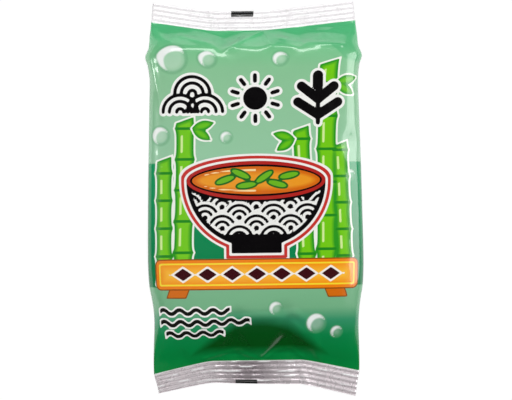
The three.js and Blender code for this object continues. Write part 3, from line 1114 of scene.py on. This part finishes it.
@dataclass(frozen=True)
class PrintedFilm:
    """The glossy printed laminate, clear where the ends are sealed."""

    # The ground along the packet. The deep-green band and the darker bottom are print; the darkening from t
    # 56 up to the top seal is painted shade of the steep top slope.
    ground: tuple[tuple[float, str], ...] = (
        (-78.0, "008039"), (-68.0, "008842"), (-61.0, "0A8C4C"), (-54.0, "36966A"), (-48.5, "74B286"),
        (-39.5, "7CB88C"), (-39.3, "007C46"), (14.4, "009A5E"), (14.6, "97CBA5"), (45.0, "8FC79B"),
        (56.0, "8AC697"), (63.0, "7AC48E"), (70.0, "62C688"), (78.0, "56C282"),
    )
    # The seals are one clear film: the bottom seal's greyer tint is painted shade and the top seal's whiter
    # one painted light. Over the fin, where more layers lie, the bottom seal is greyer still.
    shaded_clear_tint: str = "F0E6EA"
    over_fin_tint: str = "A89DA2"
    lit_clear_tint: str = "FFFCFE"
    clear_alpha: float = 0.85
    low_clear_shine: float = 0.3
    high_clear_shine: float = 0.08
    clear_edge: float = 0.3
    seal_line: float = 0.2
    # The white on the seals' ribs is partly whitening of the pressed film and partly painted highlights.
    streak_scale: tuple[float, float, float] = (120.0, 380.0, 0.0)
    streak_tint: str = "FFFFFF"
    streak_middle: float = 0.5
    streak_contrast: float = 9.0
    streak_cover: float = 0.85
    crest_from: float = 0.45
    crest_contrast: float = 4.0
    seal_line_cover: float = 0.7
    print_roughness: float = 0.2
    clear_roughness: float = 0.24
    ridge_roughness: float = 0.06
    crinkle_scales: tuple[float, float] = (90.0, 260.0)
    crinkle_ridges: float = 0.12
    clear_calm: float = 0.8
    bump_strength: float = 0.12
    bump_distance: float = 0.0006
    coat: float = 0.8
    coat_roughness: float = 0.035
    refraction: float = 1.5
    mark_tint: str = "101010"
    mark_edge: float = 0.15
    inks: tuple[Ink, ...] = (
        # Painted shade on the steep top slope above the shoulder's zigzag.
        Ink(Motif.SLOPE_SHADE, "48B274", 0.0, 0.5, 1.4),
        # A dark dome on the bottom slope: partly darker print, partly painted shade of the steep middle
        # there.
        Ink(Motif.DEEP_PRINT_AND_SHADE, "004400", 0.0, 0.9, 6.0),
        Ink(Motif.BUBBLES, "E6F6EA", -1.4, 0.32, 3.2),
        Ink(Motif.BUBBLE_RIMS, "4C9E6C", 0.0, 0.6, 1.2),
        Ink(Motif.GLINTS, "FFFFFF", 0.0, 0.85, 0.8),
        Ink(Motif.STALKS, "F4F8EE", 1.0),
        Ink(Motif.STALKS, "2A9A1E", 0.2),
        Ink(Motif.STALKS, "74CC14", -1.1, 1.0, 1.4),
        Ink(Motif.GLEAMS, "D6F29A"),
        Ink(Motif.JOINTS, "1F8A1C"),
        Ink(Motif.SPRAYS, "F4F8EE", 1.0),
        Ink(Motif.SPRAYS, "2A9A1E", 0.2),
        Ink(Motif.SPRAYS, "66C414", -0.8, 1.0, 1.0),
        Ink(Motif.BOWL, "F6F4F0", 3.2),
        Ink(Motif.BOWL, "C8322C", 2.3),
        Ink(Motif.BOWL, "F6F4F0", 1.0),
        Ink(Motif.BOWL, "060406"),
        Ink(Motif.LIP, "B3231E"),
        Ink(Motif.LIP, "060406", -1.5),
        Ink(Motif.BROTH, "D8690C"),
        Ink(Motif.BROTH, "EE9A22", -2.5, 1.0, 3.0),
        Ink(Motif.SHINE, "FBE0A0"),
        Ink(Motif.LEAVES, "1F6A22", 0.4),
        Ink(Motif.LEAVES, "6CB81E", -0.4),
        Ink(Motif.CRESTS, "F2F2EE"),
        Ink(Motif.FEET, "8A4A08", 0.5),
        Ink(Motif.FEET, "D66C06"),
        Ink(Motif.TABLE, "8A4A08", 0.5),
        Ink(Motif.TABLE, "F4820A"),
        Ink(Motif.TABLE, "FCE030", -1.3),
        Ink(Motif.TABLE, "F8940E", -2.0),
        Ink(Motif.TABLE, "FFC236", -4.0, 1.0, 4.0),
        Ink(Motif.INLAYS, "F8F4EC", 0.8),
        Ink(Motif.INLAYS, "3C0A12"),
        Ink(Motif.PICTURES, "F8F8F4", 1.1),
        Ink(Motif.PICTURES, "070507"),
        Ink(Motif.RIPPLES, "F8F8F4", 0.7),
        Ink(Motif.RIPPLES, "12140F"),
    )

    def printed_colour(self, nodes: NodeTree) -> bpy.types.NodeSocket:
        """The print's colour, with its ground and its inks in order; the ground's top end and two of the inks
        are painted shade.
        """
        along = nodes.attribute("along")
        low, high = self.ground[0][0], self.ground[-1][0]
        share = nodes.math("DIVIDE", nodes.math("SUBTRACT", along, low), high - low, clamp=True)
        ramp = nodes.add("ValToRGB", Fac=share)
        elements = ramp.color_ramp.elements
        for index, (place, tint) in enumerate(self.ground):
            at = (place - low) / (high - low)
            element = elements[index] if index < 2 else elements.new(at)
            element.position = at
            element.color = linear(tint)
        colour = ramp.outputs[0]
        for layer in self.inks:
            colour = nodes.place(
                SharedEffects.ink(),
                Under=colour,
                Ink=linear(layer.tint),
                Distance=nodes.attribute(layer.motif.value),
                Limit=layer.limit,
                Cover=layer.cover,
                Softness=layer.softness,
            ).outputs[0]
        return colour

    def whitening_and_glints(self, nodes: NodeTree) -> bpy.types.NodeSocket:
        """A mask along the crests of the seals' ribs, broken up by noise: partly whitening of the pressed
        film, partly painted highlights that the crests catch.
        """
        place = nodes.add("VectorMath", {"operation": "MULTIPLY"})
        nodes.feed(place, 0, nodes.add("TexCoord").outputs["Object"])
        nodes.feed(place, 1, self.streak_scale)
        uneven = nodes.add("TexNoise", Vector=place.outputs[0], Scale=1.0, Detail=1.0).outputs[0]
        over_middle = nodes.math("SUBTRACT", uneven, self.streak_middle)
        some = nodes.math("MULTIPLY", over_middle, self.streak_contrast, clamp=True)
        up_crest = nodes.math("SUBTRACT", nodes.attribute("rib"), self.crest_from)
        crest = nodes.math("MULTIPLY", up_crest, self.crest_contrast, clamp=True)
        return nodes.math("MULTIPLY", some, crest)

    def build(self) -> bpy.types.Material:
        """Makes the material."""
        material = bpy.data.materials.new("printed film")
        material.use_nodes = True
        nodes = NodeTree(material.node_tree)
        shader = material.node_tree.nodes["Principled BSDF"]
        ink = SharedEffects.ink()
        clear, mark = nodes.attribute("clear"), nodes.attribute("mark")
        whitening_and_glints = self.whitening_and_glints(nodes)
        seal_line = nodes.math("SUBTRACT", nodes.math("ABSOLUTE", clear), self.seal_line)
        below = nodes.math("MULTIPLY", nodes.attribute("along"), -1.0)
        near_fin = nodes.attribute("near_fin")
        # The bottom seal gets the shaded copy of the clear film's colour and the top seal the lit copy:
        # painted shade and painted light.
        shaded_clear = nodes.mix(near_fin, linear(self.shaded_clear_tint), linear(self.over_fin_tint))
        lit_clear = linear(self.lit_clear_tint)
        clear_colour = nodes.place(ink, Under=shaded_clear, Ink=lit_clear, Distance=below)
        colour = nodes.place(
            ink,
            Under=self.printed_colour(nodes),
            Ink=clear_colour.outputs[0],
            Distance=clear,
            Softness=self.clear_edge,
        )
        colour = nodes.place(
            ink,
            Under=colour.outputs[0],
            Ink=linear(self.streak_tint),
            Distance=seal_line,
            Cover=self.seal_line_cover,
        )
        # Partly whitening of the pressed film, partly painted highlights on the ribs' crests.
        colour = nodes.mix(whitening_and_glints, colour.outputs[0], linear(self.streak_tint))
        colour = nodes.place(ink, Under=colour, Ink=linear(self.mark_tint), Distance=mark)
        in_clear = nodes.math("SUBTRACT", 0.5, nodes.math("DIVIDE", clear, self.clear_edge), clamp=True)
        off_mark = nodes.math("ADD", 0.5, nodes.math("DIVIDE", mark, self.mark_edge), clamp=True)
        off_streak = nodes.math("SUBTRACT", 1.0, nodes.math("MULTIPLY", whitening_and_glints, self.streak_cover))
        bare = nodes.math("MULTIPLY", in_clear, off_mark)
        see_through = nodes.math("MULTIPLY", bare, off_streak)
        alpha = nodes.math("SUBTRACT", 1.0, nodes.math("MULTIPLY", see_through, 1 - self.clear_alpha))
        broad, fine = self.crinkle_scales
        crinkle = nodes.place(
            SharedEffects.crinkle(), Broad_scale=broad, Ridge_scale=fine, Ridges=self.crinkle_ridges
        )
        on_ridge = nodes.math("MULTIPLY", crinkle.outputs["Ridge"], self.ridge_roughness)
        rough = nodes.math("ADD", self.print_roughness, on_ridge)
        more = self.clear_roughness - self.print_roughness
        rough = nodes.math("ADD", rough, nodes.math("MULTIPLY", in_clear, more))
        smoother = nodes.math("SUBTRACT", 1.0, nodes.math("MULTIPLY", in_clear, self.clear_calm))
        height = nodes.math("MULTIPLY", crinkle.outputs["Height"], smoother)
        bump = nodes.add("Bump", Strength=self.bump_strength, Distance=self.bump_distance, Height=height)
        more_shine = self.low_clear_shine - self.high_clear_shine
        at_low_end = nodes.math("GREATER_THAN", below, 0.0)
        shine = nodes.math("ADD", nodes.math("MULTIPLY", at_low_end, more_shine), self.high_clear_shine)
        nodes.feed(shader, "Base Color", colour.outputs[0])
        nodes.feed(shader, "Alpha", alpha)
        nodes.feed(shader, "Metallic", nodes.math("MULTIPLY", see_through, shine))
        nodes.feed(shader, "Roughness", rough)
        nodes.feed(shader, "Normal", bump.outputs[0])
        shader.inputs["Coat Weight"].default_value = self.coat
        shader.inputs["Coat Roughness"].default_value = self.coat_roughness
        shader.inputs["IOR"].default_value = self.refraction
        return material


@dataclass(frozen=True)
class DriedSeaweed:
    """The dry, nearly black green of cut wakame."""

    dark: str = "161D10"
    light: str = "3C4224"
    bloom: str = "8A8C78"
    crinkle_scales: tuple[float, float] = (260.0, 900.0)
    crinkle_ridges: float = 0.6
    patch_scale: float = 140.0
    patch_detail: float = 4.0
    speckle_scale: float = 2600.0
    speckle_detail: float = 2.0
    salt_from: float = 0.66
    salt_contrast: float = 6.0
    roughness: tuple[float, float] = (0.5, 0.35)
    bump_strength: float = 0.6
    bump_distance: float = 0.0004
    sheen: float = 0.15

    def build(self) -> bpy.types.Material:
        """Makes the material."""
        material = bpy.data.materials.new("dried seaweed")
        material.use_nodes = True
        nodes = NodeTree(material.node_tree)
        shader = material.node_tree.nodes["Principled BSDF"]
        broad, fine = self.crinkle_scales
        crinkle = nodes.place(
            SharedEffects.crinkle(), Broad_scale=broad, Ridge_scale=fine, Ridges=self.crinkle_ridges
        )
        place = nodes.add("TexCoord").outputs["Object"]
        patches = nodes.add(
            "TexNoise", Vector=place, Scale=self.patch_scale, Detail=self.patch_detail
        ).outputs[0]
        shade = nodes.mix(patches, linear(self.dark), linear(self.light))
        speckle = nodes.add(
            "TexNoise", Vector=place, Scale=self.speckle_scale, Detail=self.speckle_detail
        ).outputs[0]
        over_salt = nodes.math("SUBTRACT", speckle, self.salt_from)
        salt = nodes.math("MULTIPLY", over_salt, self.salt_contrast, clamp=True)
        least, more = self.roughness
        nodes.feed(shader, "Base Color", nodes.mix(salt, shade, linear(self.bloom)))
        nodes.feed(shader, "Roughness", nodes.math("ADD", least, nodes.math("MULTIPLY", patches, more)))
        bump = nodes.add(
            "Bump",
            Strength=self.bump_strength,
            Distance=self.bump_distance,
            Height=crinkle.outputs["Height"],
        )
        nodes.feed(shader, "Normal", bump.outputs[0])
        shader.inputs["Sheen Weight"].default_value = self.sheen
        return material


@dataclass
class PrintedPouch:
    """The web of film: one sheet, folded into a tube and sealed at its ends and along its back."""

    form: PouchForm = field(default_factory=PouchForm)
    cloth: FilmCloth = field(default_factory=FilmCloth)
    folds: FilmFolds = field(default_factory=FilmFolds)
    artwork: Artwork = field(default_factory=Artwork)
    finish: PrintedFilm = field(default_factory=PrintedFilm)
    node: str = "film_pouch"
    body_cells: int = 71
    seal_row: float = 0.3
    cells: dict[str, int] = field(
        default_factory=lambda: {"inner_fin": 3, "back_left": 18, "front": 45, "back_right": 27}
    )
    split: int = 3
    hold_reach: float = 5.0
    mark_s: tuple[float, float] = (-10.6, 0.2)
    mark_lengths: tuple[float, float] = (2.0, 2.9)
    lump_size: float = 11.0
    lump_height: float = 0.22
    lump_slices: tuple[float, float] = (4.2, 9.1)
    small_lumps: tuple[float, float] = (2.3, 0.5)
    lump_fade: float = 25.0
    ground_margin: float = 0.5
    map_margin: float = 1.01

    def held(self, points: Array, t: Array) -> Array:
        """How firmly the film is held: fully at the seal lines and where it lies on the ground."""
        near = np.clip(1 - (self.form.half_length - np.abs(t)) / self.hold_reach, 0, 1) ** 0.5
        grounded = points[..., 2] < self.form.rest + self.ground_margin
        return np.maximum(near, grounded)

    def creases(self, web: PouchWeb) -> dict[str, Array]:
        """How far the simulation moves each strip of the body, on its coarse grid."""
        t = np.linspace(-self.form.half_length, self.form.half_length, self.body_cells + 1)
        strips = web.strips(t, self.cells)
        tube = [strips[name] for name in ("back_left", "front", "back_right")]
        points = np.concatenate([strip.points for strip in tube], 1)
        rows = np.broadcast_to(t[:, None], points.shape[:2])
        moved = self.cloth.settle(points, self.held(points, rows))
        edges = np.cumsum([strip.points.shape[1] for strip in tube])[:-1]
        left, front, right = np.split(self.softened(moved), edges, axis=1)
        still = np.zeros_like(strips["inner_fin"].points)
        return {"inner_fin": still, "back_left": left, "front": front, "back_right": right}

    @staticmethod
    def softened(moved: Array) -> Array:
        """Evens out the simulation's movement from each grid point to the next."""
        for axis in (0, 1):
            grid = np.moveaxis(moved, axis, 0)
            inner = 0.25 * grid[:-2] + 0.5 * grid[1:-1] + 0.25 * grid[2:]
            moved = np.moveaxis(np.concatenate([grid[:1], inner, grid[-1:]]), 0, axis)
        return moved

    def fine_rows(self) -> tuple[Array, slice]:
        """The t of every row of the finished film, and which rows are the body's."""
        half = self.form.half_length
        body = np.linspace(-half, half, self.body_cells * self.split + 1)
        low, high = (
            half + np.append(np.arange(self.seal_row, end.seal, self.seal_row), end.seal)
            for end in (self.form.bottom, self.form.top)
        )
        return np.concatenate([-low[::-1], body, high]), slice(len(low), len(low) + len(body))

    def lumps(self, x: Array, t: Array) -> Array:
        """Low swellings where the flakes inside press on the front film."""
        large, small = self.lump_slices
        finer, share = self.small_lumps
        flat = [
            noise.noise(Vector((a, b, large))) + share * noise.noise(Vector((a * finer, b * finer, small)))
            for a, b in zip(x.ravel() / self.lump_size, t.ravel() / self.lump_size)
        ]
        fade = np.clip((self.form.half_length - np.abs(t)) / self.lump_fade, 0, 1)
        return np.array(flat).reshape(x.shape) * self.lump_height * fade * self.form.crown(x, t)

    def build(self) -> bpy.types.Object:
        """Makes the film, dressed and riding on the packet's body."""
        web = PouchWeb(self.form)
        moved = self.creases(web)
        t, body = self.fine_rows()
        strips = web.strips(t, {name: count * self.split for name, count in self.cells.items()})
        for name, strip in strips.items():
            fine = refine(refine(moved[name], 0, self.split), 1, self.split)
            strip.points[body] += fine
            rows = np.broadcast_to(t[:, None], strip.x.shape)
            strip.points[..., 2] += self.folds.seal_rise(strip.x, rows, self.form.half_length)
        front = strips["front"]
        rows = np.broadcast_to(t[:, None], front.x.shape)
        front.points[..., 2] += self.lumps(front.x, rows)
        front.points[..., 2] += self.folds.front_rise(front.x, rows, self.form.half_length)
        points = np.concatenate([strip.points for strip in strips.values()], 1)
        points[..., 2] = np.maximum(points[..., 2], self.form.rest)
        across = np.concatenate([strip.across for strip in strips.values()])
        return self.as_object(points, across, t)

    def as_object(self, points: Array, across: Array, t: Array) -> bpy.types.Object:
        """Turns the laid-out web into a Blender object.

        Args:
            points: rows of points in millimetres, about the form's own middle.
            across: each column's place on the flat film.
            t: each row's place on the flat film.

        Returns:
            The film's object.
        """
        low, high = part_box(self.node)
        rows, columns = points.shape[:2]
        flat = points.reshape(-1, 3) * MM
        middle = (flat.max(0) + flat.min(0)) / 2
        flat[:, 0] += (low.x + high.x) / 2 - middle[0]
        flat[:, 1] += (low.y + high.y) / 2 - middle[1]
        mesh = bpy.data.meshes.new("printed_film")
        mesh.from_pydata(flat.tolist(), [], grid_faces(rows, columns))
        mesh.shade_smooth()
        s = np.broadcast_to(across, (rows, columns))
        along = np.broadcast_to(t[:, None], (rows, columns))
        add_attribute(mesh, "along", along)
        add_attribute(mesh, "clear", self.form.half_length - np.abs(along))
        add_attribute(mesh, "rib", self.form.rib_wave(along))
        add_attribute(mesh, "near_fin", self.form.near_fin(s))
        add_attribute(mesh, "mark", self.eye_mark(s, along))
        for motif, distance in self.artwork.distances(s, along).items():
            add_attribute(mesh, motif.value, distance)
        self.add_flat_map(mesh, s, along)
        mesh.materials.append(self.finish.build())
        film = make_object("printed_film", mesh)
        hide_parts(self.node)
        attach(film, "root")
        return film

    def eye_mark(self, s: Array, t: Array) -> Array:
        """Distance from the dark register marks at both cut ends, on the front and on the back seam."""
        half = self.form.half_length
        from_cut = np.where(t > 0, half + self.form.top.seal, half + self.form.bottom.seal) - np.abs(t)
        start, stop = self.mark_s
        on_fin = s.max() - (stop - start) - s
        across = np.minimum(on_fin, np.maximum(start - s, s - stop))
        low, high = self.mark_lengths
        return np.maximum(from_cut - np.where(t > 0, high, low), across)

    def add_flat_map(self, mesh: bpy.types.Mesh, s: Array, t: Array) -> None:
        """Adds the flat film's own layout as a map, on which no two places overlap."""
        span = max(np.ptp(s), np.ptp(t)) * self.map_margin
        flat = np.stack([(s - s.min()) / span, (t - t.min()) / span], -1).reshape(-1, 2)
        corner = np.empty(len(mesh.loops), np.int32)
        mesh.loops.foreach_get("vertex_index", corner)
        layer = mesh.uv_layers.new(name="OFBake")
        layer.data.foreach_set("uv", np.ascontiguousarray(flat[corner], np.float32).ravel())


@dataclass
class WakameCharge:
    """The loose cut flakes inside, each finer than its CAD solid and in the same place."""

    finish: DriedSeaweed = field(default_factory=DriedSeaweed)
    prefix: str = "wakame_flake_"
    levels: int = 2
    crumple: float = 0.26
    crumple_size: float = 3.2
    pucker: float = 0.1
    pucker_size: float = 0.9

    def refined(self, source: bpy.types.Object) -> bpy.types.Mesh:
        """A rounded and crumpled copy of a flake's solid."""
        shape = bmesh.new()
        shape.from_mesh(source.data)
        bmesh.ops.remove_doubles(shape, verts=shape.verts, dist=1e-6)
        mesh = bpy.data.meshes.new(source.name + "_fine")
        shape.to_mesh(mesh)
        shape.free()
        rough = make_object(source.name + "_rough", mesh)
        rounding = rough.modifiers.new("rounding", "SUBSURF")
        rounding.levels = self.levels
        evaluated = rough.evaluated_get(bpy.context.evaluated_depsgraph_get())
        fine = bpy.data.meshes.new_from_object(evaluated)
        bpy.data.objects.remove(rough)
        bpy.data.meshes.remove(mesh)
        places = np.empty((len(fine.vertices), 3), np.float32)
        normals = np.empty_like(places)
        fine.vertices.foreach_get("co", places.ravel())
        fine.vertices.foreach_get("normal", normals.ravel())
        push = [
            self.crumple * noise.noise(Vector(place / MM / self.crumple_size))
            + self.pucker * noise.noise(Vector(place / MM / self.pucker_size))
            for place in places
        ]
        places += normals * np.array(push)[:, None] * MM
        fine.vertices.foreach_set("co", places.ravel())
        fine.update()
        fine.shade_smooth()
        return fine

    def build(self) -> list[bpy.types.Object]:
        """Makes every flake."""
        material = self.finish.build()
        made = []
        for name in sorted(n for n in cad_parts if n.startswith(self.prefix)):
            mesh = self.refined(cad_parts[name])
            mesh.materials.clear()
            mesh.materials.append(material)
            flake = make_object(name.replace(self.prefix, "cut_wakame_"), mesh)
            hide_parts(name)
            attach(flake, "root")
            made.append(flake)
        return made


@dataclass(frozen=True)
class SoftBox:
    """A rectangular studio light that looks at the packet, in metres and degrees."""

    name: str
    azimuth: float
    elevation: float
    distance: float
    width: float
    height: float
    brightness: float
    mirrored: bool = True

    def build(self) -> bpy.types.Object:
        """Makes the light. Its brightness is that of its face, and only a mirrored one makes highlights."""
        light = bpy.data.lights.new(self.name, "AREA")
        light.shape = "RECTANGLE"
        light.size, light.size_y = self.width, self.height
        light.energy = self.brightness * math.pi * self.width * self.height
        lamp = bpy.data.objects.new(self.name, light)
        a, e = math.radians(self.azimuth), math.radians(self.elevation)
        away = Vector((math.cos(a) * math.cos(e), math.sin(a) * math.cos(e), math.sin(e)))
        lamp.location = away * self.distance
        lamp.rotation_euler = away.to_track_quat("Z", "Y").to_euler()
        lamp.visible_glossy = self.mirrored
        bpy.context.scene.collection.objects.link(lamp)
        return lamp


@dataclass(frozen=True)
class PhotoSet:
    """The plain white set: floor, soft lights and the camera overhead."""

    floor_half: float = 3.0
    sheet_white: float = 0.98
    ground_glow: float = 1.0
    lit_level: float = -0.0002
    ambient: float = 0.02
    boxes: tuple[SoftBox, ...] = (
        SoftBox("right_softbox", 14, 30, 1.6, 1.16, 1.15, 4.1),
        SoftBox("left_softbox", 169, 32, 1.8, 0.4, 0.36, 12.0),
        SoftBox("far_softbox", 95, 48, 1.8, 1.4, 0.26, 7.0),
        SoftBox("fill_softbox", 200, 64, 1.8, 1.8, 1.8, 1.85, False),
    )
    camera_height: float = 0.9
    sensor_width: float = 36.0
    frame_pixels: tuple[int, int] = (512, 400)
    mm_per_pixel: float = 0.44
    sharp_height: float = 0.008
    middle_pixel: tuple[float, float] = (255.0, 199.2)
    roll: float = -0.6

    def build_sheet(self, name: str, level: float, glow: float) -> bpy.types.Object:
        """Makes a level white sheet, which isn't part of the packet.

        Args:
            name: what the sheet is called.
            level: its height, in metres.
            glow: how strongly it shines by itself.

        Returns:
            The sheet.
        """
        half = self.floor_half
        corners = [(-half, -half, level), (half, -half, level), (half, half, level), (-half, half, level)]
        mesh = bpy.data.meshes.new(name)
        mesh.from_pydata(corners, [], [(0, 1, 2, 3)])
        material = bpy.data.materials.new(name)
        material.use_nodes = True
        shader = material.node_tree.nodes["Principled BSDF"]
        shader.inputs["Base Color"].default_value = (self.sheet_white, self.sheet_white, self.sheet_white, 1)
        shader.inputs["Roughness"].default_value = 1.0
        shader.inputs["Specular IOR Level"].default_value = 0.0
        shader.inputs["Emission Color"].default_value = (1, 1, 1, 1)
        shader.inputs["Emission Strength"].default_value = glow
        mesh.materials.append(material)
        sheet = make_object(name, mesh)
        return sheet

    def build_floor(self) -> None:
        """Makes the white floor, and just below it a lit sheet that keeps the ground free of shadows."""
        floor = self.build_sheet("white_floor", 0.0, 0.0)
        floor.visible_camera = False
        lit = self.build_sheet("lit_ground", self.lit_level, self.ground_glow)
        lit.visible_diffuse = False
        lit.visible_glossy = False
        lit.visible_shadow = False

    def build_camera(self) -> bpy.types.Object:
        """Makes the camera, which looks straight down as in the photo."""
        data = bpy.data.cameras.new("overhead")
        width = self.frame_pixels[0] * self.mm_per_pixel * MM
        data.sensor_width = self.sensor_width
        data.lens = self.sensor_width * (self.camera_height - self.sharp_height) / width
        camera = bpy.data.objects.new("overhead", data)
        aside = (self.frame_pixels[0] / 2 - self.middle_pixel[0]) * self.mm_per_pixel * MM
        up = (self.middle_pixel[1] - self.frame_pixels[1] / 2) * self.mm_per_pixel * MM
        camera.location = (aside, up, self.camera_height)
        camera.rotation_euler = (0, 0, math.radians(self.roll))
        bpy.context.scene.collection.objects.link(camera)
        bpy.context.scene.camera = camera
        return camera

    def build(self) -> None:
        """Makes the whole set."""
        scene = bpy.context.scene
        scene.view_settings.view_transform = "Standard"
        world = bpy.data.worlds.new("studio")
        world.use_nodes = True
        world.node_tree.nodes["Background"].inputs["Color"].default_value = (1, 1, 1, 1)
        world.node_tree.nodes["Background"].inputs["Strength"].default_value = self.ambient
        scene.world = world
        self.build_floor()
        self.build_camera()
        for box in self.boxes:
            box.build()


def triangles(made: Iterable[bpy.types.Object]) -> int:
    """How many triangles some objects have."""
    return sum(len(polygon.vertices) - 2 for item in made for polygon in item.data.polygons)


def main() -> None:
    """Builds the packet and its set, and reports each piece."""
    logging.basicConfig(level=logging.INFO, format="%(name)s: %(message)s")
    film = PrintedPouch().build()
    LOG.info("printed film: %d triangles", triangles([film]))
    flakes = WakameCharge().build()
    LOG.info("cut wakame: %d flakes, %d triangles", len(flakes), triangles(flakes))
    PhotoSet().build()
    LOG.info("photo set: floor, lights and camera")


if __name__ == "__main__":
    main()
